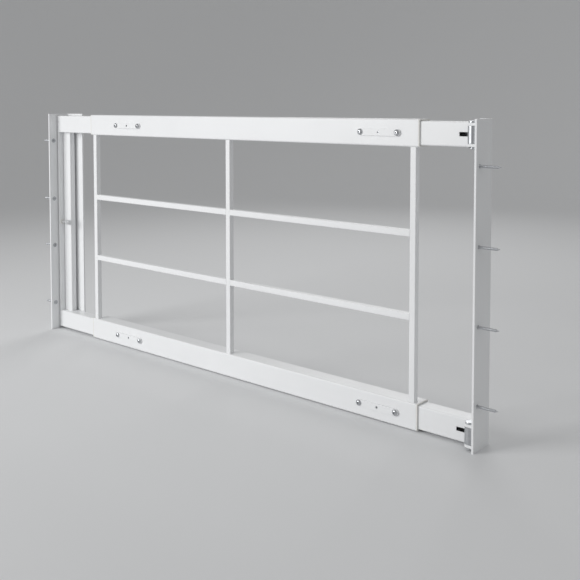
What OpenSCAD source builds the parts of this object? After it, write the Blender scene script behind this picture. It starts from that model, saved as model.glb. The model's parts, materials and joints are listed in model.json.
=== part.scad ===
// Telescopic window security grille: two steel wall brackets, a welded centre panel
// and sliding arms that set its width, hinged at the right and bolted at the left.
// Millimetres. X runs across the window, +Y towards the glass, +Z up.
// The origin lies on the left jamb, at mid height, on the line of the wall screws.

/* [Opening] */
// Width between the two jambs
opening_w = 1000; // [940:5:1120]
// Clear distance from the left jamb to the end of the sleeves
left_reach = 124; // [110:1:180]

/* [Centre panel] */
// Length of the two sleeves with their end guides
sleeve_l = 776; // [740:2:800]
// Height over both sleeves
panel_h = 455; // [380:5:700]
// Height of a sleeve
sleeve_h = 40; // [36:1:60]
// Depth of a sleeve
sleeve_d = 30; // [26:1:45]
// Wall of a sleeve
sleeve_wall = 1.5; // [1.2:0.1:1.8]
// Outer corner radius of a sleeve
sleeve_r = 2.2; // [1.8:0.1:3]
// Side of the square bars
bar = 10; // [8:0.5:12]
// Corner radius of the square bars
bar_r = 1; // [0.5:0.1:1.5]
// Distance of the bars behind the front of the sleeves
bar_setback = 1.5; // [0.5:0.5:6]
// Distance of the outer uprights from the ends of the sleeves
upright_inset = 6; // [4:1:30]
// Height of each row of crossbars above and below the middle
crossbar_rise = 61.5; // [40:0.5:75]

/* [Arms] */
// Height of an arm
arm_h = 35; // [30:1:35]
// Depth of an arm
arm_d = 25; // [20:1:25]
// Wall of an arm
arm_wall = 1.5; // [1.2:0.1:2]
// Outer corner radius of an arm
arm_r = 2; // [1.8:0.1:3]
// Length of an arm inside its sleeve
arm_inside = 250; // [240:5:300]
// How far each side draws in from rest
retract = 30; // [10:1:30]
// How far each side draws out from rest
extend = 80; // [20:1:80]
// Width of the slots in the arms
slot_w = 6; // [5.6:0.1:8]
// Distance from the hinge axis back to the adjusting slot of a right arm
hinge_slot_back = 26; // [25:1:28]
// Length of the adjusting slot of a right arm
hinge_slot_l = 22; // [20:1:22]

/* [Guides and glides] */
// Clearance of an arm in its sleeve guide, and of a glide in its sleeve
slide_gap = 0.3; // [0.2:0.05:0.4]
// Length of a guide inside the sleeve
guide_l = 20; // [12:1:30]
// Thickness of the rim of a guide
guide_rim = 2; // [1:0.5:3]
// Thickness of the flange of a glide
glide_flange = 4; // [3:0.5:6]
// Length of a glide inside its arm
glide_plug = 8; // [6:0.5:8]
// Clearance of a glide inside its arm
glide_fit = 0.1; // [0.05:0.05:0.2]

/* [Clamps] */
// Centre of a left clamp from the left end of its sleeve
left_clamp_x = 117; // [90:1:117]
// Centre of a right clamp from the right end of its sleeve
right_clamp_x = 70; // [70:1:110]
// Distance between the two screws of a clamp
clamp_pitch = 66; // [50:1:68]
// Height of a clamp plate
clamp_h = 10.5; // [10:0.5:14]
// Thickness of a clamp plate
clamp_t = 2.5; // [2:0.1:4]
// Height of a nut plate
nut_h = 14; // [10:0.5:20]
// Thickness of a nut plate
nut_t = 4; // [3:0.5:6]
// Overhang of a clamp or nut plate past its screws
clamp_over = 5.25; // [5:0.25:6]

/* [Screws] */
// Diameter of a machine screw
screw_d = 4.9; // [4.8:0.1:5]
// Diameter of a machine screw's button head
button_d = 9.5; // [8.5:0.1:10]
// Height of a button head
button_h = 2.75; // [2:0.05:3.2]
// Size of the hexagon socket of a button head across flats
button_socket = 3; // [2.5:0.5:3.5]
// Reach of a clamp screw past its nut plate
clamp_screw_past = 2; // [1:0.5:4]
// Diameter of a lock screw between two clamp screws
lock_screw_d = 3.9; // [3.5:0.1:4]
// Size of the hexagon socket of a lock screw across flats
lock_screw_socket = 2; // [1.5:0.5:2.5]
// Depth of the hexagon sockets
socket_depth = 1.6; // [1:0.1:1.8]
// Radial clearance of a screw in its threaded hole
thread_gap = 0.05; // [0.02:0.01:0.1]
// Radial clearance of a screw in a plain hole
hole_gap = 0.3; // [0.2:0.05:0.5]

/* [Wall brackets] */
// Height of a wall bracket past the sleeves, above and below
bracket_over = 1.5; // [0:0.5:10]
// Sheet thickness of a wall bracket
bracket_t = 3; // [3:0.5:4]
// Outer bend radius of a wall bracket
bracket_r = 4.5; // [4.5:0.5:8]
// Distance from the wall screws to the front edge of a bracket
strip_front = 10; // [9:0.5:16]
// Length of the back leg of the left bracket
left_leg = 55; // [30:1:60]
// Length of the back leg of the right bracket
right_leg = 20; // [16:1:20]
// Clearance between the back of the arms and the back legs
stop_gap = 1; // [0.6:0.1:3]
// Height of the left bracket's outer wall screws above and below the middle
left_outer_screw_z = 172.5; // [150:0.5:180]
// Height of the left bracket's inner wall screws above and below the middle
left_inner_screw_z = 49.5; // [30:0.5:90]
// Height of the right bracket's outer wall screws above and below the middle
right_outer_screw_z = 165; // [140:0.5:170]
// Height of the right bracket's inner wall screws above and below the middle
right_inner_screw_z = 55; // [30:0.5:90]
// Diameter of a wall screw's shank
wall_screw_d = 4.5; // [4:0.1:4.6]
// Diameter of the neck between a wall screw's shank and its head
wall_neck_d = 5.2; // [5:0.1:5.6]
// Length of a wall screw below its head
wall_screw_l = 32; // [20:1:45]
// Diameter of a wall screw's head
wall_head_d = 9.2; // [8.5:0.1:10]
// Height of the dome on a wall screw's head
wall_head_dome = 0.5; // [0.2:0.1:0.6]
// Length of the pointed tip of a wall screw
wall_tip_l = 5; // [3:0.5:8]

/* [Left end] */
// Clearance between the left bracket and the end plate
end_gap = 1.5; // [1.5:0.1:3]
// Thickness of the end plate
end_plate_t = 4; // [4:0.5:6]
// Distance from the wall screws to the front of the arms
arm_front = 9; // [8:0.5:14]
// Width of the post
post_w = 25; // [20:1:40]
// Distance of the post in front of the back of the arms
post_back = 2.4; // [2.4:0.1:4]
// Distance from the front of the arms to the post
post_setback = 10.6; // [10.6:0.1:12]
// Wall of the post
post_wall = 1.5; // [1.2:0.1:2]
// Corner radius of the post
post_r = 1.8; // [1.8:0.1:2.5]

/* [Lock bolt] */
// Distance from the front of the arms to the axis of the bolt
bolt_back = 5.5; // [5.5:0.1:5.6]
// Diameter of the bolt's stem
bolt_d = 5; // [4.5:0.1:5]
// Diameter of the bolt's head
bolt_head_d = 6.5; // [6.2:0.1:6.6]
// Clearance of the bolt in its bush, on radius
bolt_fit = 0.05; // [0.03:0.01:0.1]
// Length of the bush's flange
bush_flange_l = 1.5; // [1:0.1:2]
// Diameter of the bush's flange
bush_flange_d = 9.5; // [9:0.1:9.8]
// Wall of the bush
bush_wall = 0.7; // [0.6:0.05:0.8]
// Travel of the bolt
bolt_travel = 12; // [8:0.5:13]
// Diameter of the hole for the bolt in the left bracket
bolt_hole_d = 7.2; // [7:0.1:8]
// Diameter of the knob
knob_d = 9.6; // [9:0.1:9.8]
// Length of the knob
knob_l = 11.5; // [9:0.5:16]
// Clearance left between the bush and the knob when the bolt is home
knob_clear = 3.5; // [1:0.5:8]
// Length of stem held in the knob
knob_grip = 7; // [5:0.5:8]
// Edge chamfer of the knob
knob_chamfer = 0.8; // [0.3:0.1:1.5]

/* [Hinges] */
// Diameter of a hinge pin
pin_d = 8; // [7:0.5:8]
// Radial clearance of a hinge pin
pin_fit = 0.05; // [0.02:0.01:0.1]
// Outer diameter of a hinge eye
eye_d = 14; // [13:0.5:14]
// Height of a hinge eye
eye_h = 24; // [16:1:24]
// Thickness of a hinge lug
lug_t = 4; // [3:0.5:4]
// Clearance between an eye and a lug
lug_gap = 0.3; // [0.2:0.05:0.5]
// Distance from the right jamb to the hinge axis
hinge_from_jamb = 11; // [11:0.5:14]
// Thickness of the eye's web
web_t = 5; // [4:0.5:5]
// Depth of the tongue inside an arm
tongue_d = 10; // [8:0.5:14]
// Length of the tongue inside an arm
tongue_l = 34; // [34:1:60]
// Distance from the hinge axis to the tongue's screw
tongue_screw_x = 19; // [18:0.5:20]
// Diameter of the head of a hinge pin
pin_head_d = 12; // [10:0.5:13]
// Thickness of the head of a hinge pin
pin_head_h = 3; // [2:0.5:3]
// Length of a hinge pin below its lower lug
pin_tail = 3.5; // [3:0.1:4]
// Thickness of a retaining clip
clip_t = 1; // [0.8:0.1:1.2]
// Outer diameter of a retaining clip
clip_d = 12; // [11:0.5:13]
// Diameter at the bottom of the clip's groove
groove_d = 6.5; // [6:0.1:6.8]
// Diameter of a hinge washer
washer_d = 12; // [11:0.5:12]
// Thickness of a hinge washer
washer_t = 1; // [0.8:0.1:1.2]

/* [Hidden] */
$fn = 48;

cut = 0.5;                                       // overrun of a cut past the face it opens
sides = [-1, 1];

// Heights
rail_z = (panel_h - sleeve_h) / 2;               // middle of each sleeve and its arms
arm_inner_z = rail_z - arm_h / 2;
bracket_h = panel_h + 2 * bracket_over;
left_heights = [-left_outer_screw_z, -left_inner_screw_z,
                left_inner_screw_z, left_outer_screw_z];
right_heights = [-right_outer_screw_z, -right_inner_screw_z,
                 right_inner_screw_z, right_outer_screw_z];

// Depths
arm_back = arm_front + arm_d;
arm_mid_y = arm_front + arm_d / 2;
sleeve_front = arm_mid_y - sleeve_d / 2;
bar_front = sleeve_front + bar_setback;
bar_mid_y = bar_front + bar / 2;
bracket_back = arm_back + stop_gap + bracket_t;
post_front = arm_front + post_setback;
post_d = arm_d - post_setback - post_back;
bolt_y = arm_front + bolt_back;

// Places across the window
sleeve_x0 = left_reach;
sleeve_x1 = sleeve_x0 + sleeve_l;
tube_x0 = sleeve_x0 + guide_rim;
tube_x1 = sleeve_x1 - guide_rim;
hinge_x = opening_w - hinge_from_jamb;
end_plate_x = bracket_t + end_gap;
end_plate_x1 = end_plate_x + end_plate_t;
left_arm_x1 = sleeve_x0 + arm_inside;
right_arm_x0 = sleeve_x1 - arm_inside;
left_upright_x = sleeve_x0 + upright_inset;
right_upright_x = sleeve_x1 - upright_inset - bar;
middle_upright_x = (sleeve_x0 + sleeve_x1 - bar) / 2;
left_clamp = sleeve_x0 + left_clamp_x;
right_clamp = sleeve_x1 - right_clamp_x;
clamp_xs = [-clamp_pitch / 2, clamp_pitch / 2];
clamp_w = clamp_pitch + 2 * clamp_over;

// Clamps, from front to back
clamp_front = sleeve_front - clamp_t;
nut_front = arm_front + arm_wall + slide_gap;
slot_margin = slot_w / 2 + 1;                    // slot beyond the last place of a screw

// Corner radii inside the tubes
sleeve_bore_r = sleeve_r - sleeve_wall;
arm_bore_r = arm_r - arm_wall;

// Lock bolt
bush_x1 = end_plate_x1 + bush_flange_l;
bolt_head_x0 = end_plate_x + slide_gap;
bolt_head_l = end_plate_t - slide_gap;
knob_x = bush_x1 + bolt_travel + knob_clear;
bush_bore_d = bolt_head_d + 2 * bolt_fit;
bush_d = bush_bore_d + 2 * bush_wall;

// Hinges
eye_r = eye_d / 2;
lug_z0 = eye_h / 2 + lug_gap;
lug_z1 = lug_z0 + lug_t;
bracket_face_x = opening_w - bracket_t;
web_x = hinge_x + 1;                             // the web clears the end of the arm by 1
tongue_back = arm_back - arm_wall;
hinge_screw_x = hinge_x - tongue_screw_x;
hinge_screw_l = 12;
pin_bottom = -lug_z1 - pin_tail;
clip_z = -lug_z1 - lug_gap - clip_t;
head_cone_h = (wall_head_d - wall_neck_d) / 2;   // a 90 degree countersunk head
wall_dome_r = (pow(wall_head_d / 2, 2) + pow(wall_head_dome, 2)) / (2 * wall_head_dome);
wall_point_r = 0.2;                              // radius left at the tip of a wall screw
recess_w = 1.1;                                  // cross recess of a wall screw
recess_l = 4.6;
recess_depth = 1.8;
clip_mouth = 5.6;                                // opening that lets a clip onto its pin

paint = "whitesmoke";
plating = "silver";
nylon = "gainsboro";

// ---- shapes that repeat ----

// A rectangle with round corners, centred.
module round_rect(w, h, r) {
    square([w - 2 * r, h], center = true);
    square([w, h - 2 * r], center = true);
    for (sx = sides, sy = sides) {
        translate([sx * (w / 2 - r), sy * (h / 2 - r)])
            circle(r);
    }
}

// A bar along X: its section is depth (Y) by height (Z), centred on Y and Z.
module bar_x(length, depth, height, r) {
    rotate([90, 0, 90])
        linear_extrude(length)
            round_rect(depth, height, r);
}

// A tube along X with its section centred on Y and Z.
module tube_x(length, depth, height, wall, r) {
    difference() {
        bar_x(length, depth, height, r);
        translate([-cut, 0, 0])
            bar_x(length + 2 * cut, depth - 2 * wall, height - 2 * wall, max(r - wall, 0.1));
    }
}

// A round hole or shaft along +Y.
module round_y(d, length) {
    rotate([-90, 0, 0])
        cylinder(d = d, h = length);
}

// A round hole or shaft along +X.
module round_x(d, length) {
    rotate([0, 90, 0])
        cylinder(d = d, h = length);
}

// A hexagonal prism along +Y, sized across its flats.
module hex_y(flats, length) {
    rotate([-90, 0, 0])
        cylinder(d = flats / cos(30), h = length, $fn = 6);
}

// A slot with round ends along X, cut through a wall that faces Y.
module slot_y(x0, x1, width, length) {
    translate([x0 + width / 2, 0, 0])
        round_y(width, length);
    translate([x1 - width / 2, 0, 0])
        round_y(width, length);
    translate([x0 + width / 2, 0, -width / 2])
        cube([x1 - x0 - width, length, width]);
}

// A button-head screw along +Y. The underside of its head is at y = 0.
module button_screw(length) {
    difference() {
        union() {
            round_y(screw_d, length);
            intersection() {
                translate([0, -button_h, 0])
                    round_y(button_d, button_h);
                translate([0, button_d * 0.55 - button_h, 0])
                    sphere(d = button_d * 1.1);
            }
        }
        translate([0, -button_h - cut, 0])
            hex_y(button_socket, socket_depth + cut);
    }
}

// ---- wall brackets ----

// Section of a bracket, with its wall leg on x = 0 and its back leg along +X.
module bracket_section(leg) {
    translate([0, -strip_front])
        square([bracket_t, bracket_back - bracket_r + strip_front]);
    translate([bracket_r, bracket_back - bracket_t])
        square([leg - bracket_r, bracket_t]);
    translate([bracket_r, bracket_back - bracket_r])
        intersection() {
            difference() {
                circle(bracket_r);
                circle(bracket_r - bracket_t);
            }
            translate([-bracket_r, 0])
                square(bracket_r);
        }
}

// A bracket for the left jamb, with countersunk screw holes at these heights.
module bracket(leg, heights) {
    difference() {
        translate([0, 0, -bracket_h / 2])
            linear_extrude(bracket_h)
                bracket_section(leg);
        for (z = heights) {
            translate([-cut, 0, z])
                round_x(wall_neck_d + 2 * hole_gap, bracket_t + 2 * cut);
            translate([bracket_t - head_cone_h, 0, z])
                rotate([0, 90, 0])
                    cylinder(d1 = wall_neck_d + 2 * hole_gap, d2 = wall_head_d + 2 * hole_gap,
                             h = head_cone_h);
        }
    }
}

// One wall screw for the left jamb: its head lies in the countersink and its neck in the hole.
module wall_screw() {
    difference() {
        rotate([0, 90, 0])
            rotate_extrude() {
                polygon([
                    [0, -wall_screw_l], [wall_point_r, -wall_screw_l],
                    [wall_screw_d / 2, wall_tip_l - wall_screw_l], [wall_screw_d / 2, 0],
                    [wall_neck_d / 2, 0], [wall_neck_d / 2, bracket_t - head_cone_h],
                    [wall_head_d / 2, bracket_t], [0, bracket_t]
                ]);
                translate([0, bracket_t])
                    intersection() {
                        translate([0, wall_head_dome - wall_dome_r])
                            circle(wall_dome_r);
                        square([wall_head_d / 2, wall_head_dome]);
                    }
            }
        for (turn = [0, 90]) {
            rotate([turn, 0, 0])
                translate([bracket_t + wall_head_dome - recess_depth, -recess_l / 2, -recess_w / 2])
                    cube([recess_depth + cut, recess_l, recess_w]);
        }
    }
}

module wall_screws(heights) {
    for (z = heights) {
        translate([0, 0, z])
            wall_screw();
    }
}

// Moves a shape made for the left jamb to the right one.
module on_right_jamb() {
    translate([opening_w, 0, 0])
        mirror([1, 0, 0])
            children();
}

module left_wall_bracket() {
    color(paint)
        difference() {
            bracket(left_leg, left_heights);
            translate([-cut, bolt_y, 0])
                round_x(bolt_hole_d, bracket_t + 2 * cut);
        }
}

module left_wall_screws() {
    color(plating)
        wall_screws(left_heights);
}

module right_wall_bracket() {
    color(paint)
        on_right_jamb()
            bracket(right_leg, right_heights);
}

module right_wall_screws() {
    color(plating)
        on_right_jamb()
            wall_screws(right_heights);
}

// ---- arms ----

// An arm tube from x0 to x1 at the height of its rail, with a clamp slot in its front.
module arm(x0, x1, rail, slot_x0, slot_x1) {
    translate([0, 0, rail * rail_z])
        difference() {
            translate([x0, arm_mid_y, 0])
                tube_x(x1 - x0, arm_d, arm_h, arm_wall, arm_r);
            translate([0, arm_front - cut, 0])
                slot_y(slot_x0, slot_x1, slot_w, arm_wall + 2 * cut);
        }
}

module left_arm(rail) {
    color(paint)
        arm(end_plate_x1, left_arm_x1, rail,
            left_clamp + clamp_xs[0] - retract - slot_margin,
            left_clamp + clamp_xs[1] + extend + slot_margin);
}

// A right arm also has an adjusting slot through both walls near its hinge.
module right_arm(rail) {
    color(paint)
        difference() {
            arm(right_arm_x0, hinge_x, rail,
                right_clamp + clamp_xs[0] - extend - slot_margin,
                right_clamp + clamp_xs[1] + retract + slot_margin);
            translate([hinge_x - hinge_slot_back, arm_front - cut, rail * rail_z - slot_w / 2])
                cube([hinge_slot_l, arm_d + 2 * cut, slot_w]);
        }
}

// A glide plugs the inner end of an arm and slides in the sleeve.
module glide(x, side, rail) {
    color(nylon)
        translate([x, arm_mid_y, rail * rail_z])
            mirror([side < 0 ? 1 : 0, 0, 0]) {
                bar_x(glide_flange, sleeve_d - 2 * sleeve_wall - 2 * slide_gap,
                      sleeve_h - 2 * sleeve_wall - 2 * slide_gap, sleeve_bore_r);
                translate([-glide_plug, 0, 0])
                    bar_x(glide_plug, arm_d - 2 * arm_wall - 2 * glide_fit,
                          arm_h - 2 * arm_wall - 2 * glide_fit, arm_bore_r);
            }
}

module upper_left_arm() { left_arm(1); }
module lower_left_arm() { left_arm(-1); }
module upper_right_arm() { right_arm(1); }
module lower_right_arm() { right_arm(-1); }
module upper_left_glide() { glide(left_arm_x1, 1, 1); }
module lower_left_glide() { glide(left_arm_x1, 1, -1); }
module upper_right_glide() { glide(right_arm_x0, -1, 1); }
module lower_right_glide() { glide(right_arm_x0, -1, -1); }

// ---- left end of the grille ----

module left_end_plate() {
    color(paint)
        difference() {
            translate([end_plate_x, arm_front, -rail_z - arm_h / 2])
                cube([end_plate_t, arm_d, 2 * rail_z + arm_h]);
            translate([end_plate_x - cut, bolt_y, 0])
                round_x(bush_d, end_plate_t + 2 * cut);
        }
}

module left_post() {
    color(paint)
        translate([end_plate_x1 + post_w / 2, post_front + post_d / 2, -arm_inner_z])
            linear_extrude(2 * arm_inner_z)
                difference() {
                    round_rect(post_w, post_d, post_r);
                    round_rect(post_w - 2 * post_wall, post_d - 2 * post_wall, post_r - post_wall);
                }
}

// The bush is bored for the bolt's head, and its flange only lets the stem through.
module bolt_bush() {
    color(nylon)
        translate([0, bolt_y, 0])
            difference() {
                union() {
                    translate([end_plate_x, 0, 0])
                        round_x(bush_d, end_plate_t);
                    translate([end_plate_x1, 0, 0])
                        round_x(bush_flange_d, bush_flange_l);
                }
                translate([end_plate_x - cut, 0, 0])
                    round_x(bush_bore_d, end_plate_t + cut);
                translate([end_plate_x, 0, 0])
                    round_x(bolt_d + 2 * bolt_fit, end_plate_t + bush_flange_l + cut);
            }
}

module lock_bolt() {
    color(plating)
        translate([0, bolt_y, 0]) {
            translate([bolt_head_x0, 0, 0])
                round_x(bolt_head_d, bolt_head_l);
            translate([bolt_head_x0, 0, 0])
                round_x(bolt_d, knob_x + knob_grip - bolt_head_x0);
        }
}

module lock_knob() {
    color(plating)
        translate([knob_x, bolt_y, 0])
            difference() {
                union() {
                    translate([knob_chamfer, 0, 0])
                        round_x(knob_d, knob_l - 2 * knob_chamfer);
                    rotate([0, 90, 0])
                        cylinder(d1 = knob_d - 2 * knob_chamfer, d2 = knob_d, h = knob_chamfer);
                    translate([knob_l - knob_chamfer, 0, 0])
                        rotate([0, 90, 0])
                            cylinder(d1 = knob_d, d2 = knob_d - 2 * knob_chamfer,
                                     h = knob_chamfer);
                }
                translate([-cut, 0, 0])
                    round_x(bolt_d + 2 * thread_gap, knob_grip + cut);
            }
}

// ---- centre panel ----

// A sleeve with the holes for its two clamps.
module sleeve(rail) {
    color(paint)
        translate([0, 0, rail * rail_z])
            difference() {
                translate([tube_x0, arm_mid_y, 0])
                    tube_x(tube_x1 - tube_x0, sleeve_d, sleeve_h, sleeve_wall, sleeve_r);
                for (clamp = [left_clamp, right_clamp]) {
                    for (x = clamp_xs) {
                        translate([clamp + x, sleeve_front - cut, 0])
                            round_y(screw_d + 2 * hole_gap, sleeve_wall + 2 * cut);
                    }
                    translate([clamp, sleeve_front - cut, 0])
                        round_y(lock_screw_d + 2 * hole_gap, sleeve_wall + 2 * cut);
                }
            }
}

module upright(x) {
    color(paint)
        translate([x + bar / 2, bar_mid_y, -rail_z + sleeve_h / 2])
            linear_extrude(2 * rail_z - sleeve_h)
                round_rect(bar, bar, bar_r);
}

// A crossbar between two uprights, at the upper (1) or lower (-1) row.
module crossbar(x0, x1, row) {
    color(paint)
        translate([x0, bar_mid_y, row * crossbar_rise])
            bar_x(x1 - x0, bar, bar, bar_r);
}

// A guide lines the mouth of a sleeve, with a rim over the end of the tube.
module guide(x, side, rail) {
    color(nylon)
        translate([x, arm_mid_y, rail * rail_z])
            mirror([side < 0 ? 1 : 0, 0, 0])
                difference() {
                    union() {
                        bar_x(guide_rim, sleeve_d, sleeve_h, sleeve_r);
                        translate([guide_rim, 0, 0])
                            bar_x(guide_l, sleeve_d - 2 * sleeve_wall,
                                  sleeve_h - 2 * sleeve_wall, sleeve_bore_r);
                    }
                    translate([-cut, 0, 0])
                        bar_x(guide_rim + guide_l + 2 * cut, arm_d + 2 * slide_gap,
                              arm_h + 2 * slide_gap, arm_r);
                }
}

module top_sleeve() { sleeve(1); }
module bottom_sleeve() { sleeve(-1); }
module left_upright() { upright(left_upright_x); }
module middle_upright() { upright(middle_upright_x); }
module right_upright() { upright(right_upright_x); }
module upper_left_crossbar() { crossbar(left_upright_x + bar, middle_upright_x, 1); }
module upper_right_crossbar() { crossbar(middle_upright_x + bar, right_upright_x, 1); }
module lower_left_crossbar() { crossbar(left_upright_x + bar, middle_upright_x, -1); }
module lower_right_crossbar() { crossbar(middle_upright_x + bar, right_upright_x, -1); }
module top_left_guide() { guide(sleeve_x0, 1, 1); }
module top_right_guide() { guide(sleeve_x1, -1, 1); }
module bottom_left_guide() { guide(sleeve_x0, 1, -1); }
module bottom_right_guide() { guide(sleeve_x1, -1, -1); }

// ---- clamps ----

// A plate with round ends, seen from the front, and its three holes.
module screw_plate(thickness, height, end_r, screw_hole, middle_hole) {
    rotate([-90, 0, 0])
        difference() {
            linear_extrude(thickness)
                round_rect(clamp_w, height, end_r);
            for (x = clamp_xs) {
                translate([x, 0, -cut])
                    cylinder(d = screw_hole, h = thickness + 2 * cut);
            }
            if (middle_hole > 0) {
                translate([0, 0, -cut])
                    cylinder(d = middle_hole, h = thickness + 2 * cut);
            }
        }
}

module clamp_plate(x, rail) {
    color(paint)
        translate([x, clamp_front, rail * rail_z])
            screw_plate(clamp_t, clamp_h, clamp_h / 2 - 0.05, screw_d + 2 * hole_gap,
                        lock_screw_d + 2 * thread_gap);
}

module nut_plate(x, rail) {
    color(plating)
        translate([x, nut_front, rail * rail_z])
            screw_plate(nut_t, nut_h, 1, screw_d + 2 * thread_gap, 0);
}

module top_left_clamp_plate() { clamp_plate(left_clamp, 1); }
module top_right_clamp_plate() { clamp_plate(right_clamp, 1); }
module bottom_left_clamp_plate() { clamp_plate(left_clamp, -1); }
module bottom_right_clamp_plate() { clamp_plate(right_clamp, -1); }
module top_left_nut_plate() { nut_plate(left_clamp, 1); }
module top_right_nut_plate() { nut_plate(right_clamp, 1); }
module bottom_left_nut_plate() { nut_plate(left_clamp, -1); }
module bottom_right_nut_plate() { nut_plate(right_clamp, -1); }

// Two screws a clamp, from the clamp plate through the slot into the nut plate.
module clamp_screws() {
    color(plating)
        for (rail = sides, clamp = [left_clamp, right_clamp], x = clamp_xs) {
            translate([clamp + x, clamp_front, rail * rail_z])
                button_screw(nut_front + nut_t + clamp_screw_past - clamp_front);
        }
}

// A lock screw a clamp: it bears on the nut plate and jams the threads.
module lock_screws() {
    color(plating)
        for (rail = sides, clamp = [left_clamp, right_clamp]) {
            translate([clamp, clamp_front, rail * rail_z])
                difference() {
                    round_y(lock_screw_d, nut_front - clamp_front);
                    translate([0, -cut, 0])
                        hex_y(lock_screw_socket, socket_depth + cut);
                }
        }
}

// ---- hinges ----

// Two lugs a hinge, welded to the face of the right bracket.
module hinge_lugs() {
    color(paint)
        for (rail = sides, z = [lug_z0, -lug_z1]) {
            translate([hinge_x, 0, rail * rail_z + z])
                difference() {
                    union() {
                        cylinder(r = eye_r, h = lug_t);
                        translate([0, -eye_r, 0])
                            cube([bracket_face_x - hinge_x, eye_d, lug_t]);
                    }
                    translate([0, 0, -cut])
                        cylinder(d = pin_d + 2 * pin_fit, h = lug_t + 2 * cut);
                }
        }
}

// A tongue lies in the end of an arm, and its web goes round the arm's end to the eye.
module hinge_tongue(rail) {
    color(plating)
        translate([0, 0, rail * rail_z - eye_h / 2])
            difference() {
                linear_extrude(eye_h) {
                    translate([hinge_x, 0])
                        circle(eye_r);
                    translate([web_x, 0])
                        square([web_t, tongue_back]);
                    translate([hinge_x - tongue_l, tongue_back - tongue_d])
                        square([web_x - hinge_x + tongue_l, tongue_d]);
                }
                translate([hinge_x, 0, -cut])
                    cylinder(d = pin_d + 2 * pin_fit, h = eye_h + 2 * cut);
                translate([hinge_screw_x, tongue_back - tongue_d - cut, eye_h / 2])
                    round_y(screw_d + 2 * thread_gap, tongue_d + 2 * cut);
            }
}

module upper_hinge_tongue() { hinge_tongue(1); }
module lower_hinge_tongue() { hinge_tongue(-1); }

module hinge_screws() {
    color(plating)
        for (rail = sides) {
            translate([hinge_screw_x, arm_back + washer_t, rail * rail_z])
                mirror([0, 1, 0])
                    button_screw(hinge_screw_l);
        }
}

module hinge_washers() {
    color(plating)
        for (rail = sides) {
            translate([hinge_screw_x, arm_back, rail * rail_z])
                difference() {
                    round_y(washer_d, washer_t);
                    translate([0, -cut, 0])
                        round_y(screw_d + 2 * hole_gap, washer_t + 2 * cut);
                }
        }
}

module hinge_pins() {
    color(plating)
        for (rail = sides) {
            translate([hinge_x, 0, rail * rail_z])
                difference() {
                    union() {
                        translate([0, 0, pin_bottom])
                            cylinder(d = pin_d, h = lug_z1 - pin_bottom);
                        translate([0, 0, lug_z1])
                            cylinder(d = pin_head_d, h = pin_head_h);
                    }
                    translate([0, 0, clip_z])
                        difference() {
                            cylinder(d = pin_d + 2, h = clip_t);
                            cylinder(d = groove_d, h = clip_t);
                        }
                }
        }
}

// Retaining clips in the grooves of the pins.
module pin_clips() {
    color(plating)
        for (rail = sides) {
            translate([hinge_x, 0, rail * rail_z + clip_z])
                difference() {
                    cylinder(d = clip_d, h = clip_t);
                    translate([0, 0, -cut])
                        cylinder(d = groove_d + 2 * pin_fit, h = clip_t + 2 * cut);
                    translate([-clip_mouth / 2, -clip_d, -cut])
                        cube([clip_mouth, clip_d, clip_t + 2 * cut]);
                }
        }
}

left_wall_bracket();
left_wall_screws();
upper_left_arm();
lower_left_arm();
left_end_plate();
left_post();
upper_left_glide();
lower_left_glide();
bolt_bush();
lock_bolt();
lock_knob();
top_sleeve();
bottom_sleeve();
left_upright();
middle_upright();
right_upright();
upper_left_crossbar();
upper_right_crossbar();
lower_left_crossbar();
lower_right_crossbar();
top_left_guide();
top_right_guide();
bottom_left_guide();
bottom_right_guide();
top_left_clamp_plate();
top_right_clamp_plate();
bottom_left_clamp_plate();
bottom_right_clamp_plate();
top_left_nut_plate();
top_right_nut_plate();
bottom_left_nut_plate();
bottom_right_nut_plate();
clamp_screws();
lock_screws();
upper_right_arm();
lower_right_arm();
upper_right_glide();
lower_right_glide();
upper_hinge_tongue();
lower_hinge_tongue();
hinge_screws();
hinge_washers();
right_wall_bracket();
right_wall_screws();
hinge_lugs();
hinge_pins();
pin_clips();
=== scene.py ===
import json
import math

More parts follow.
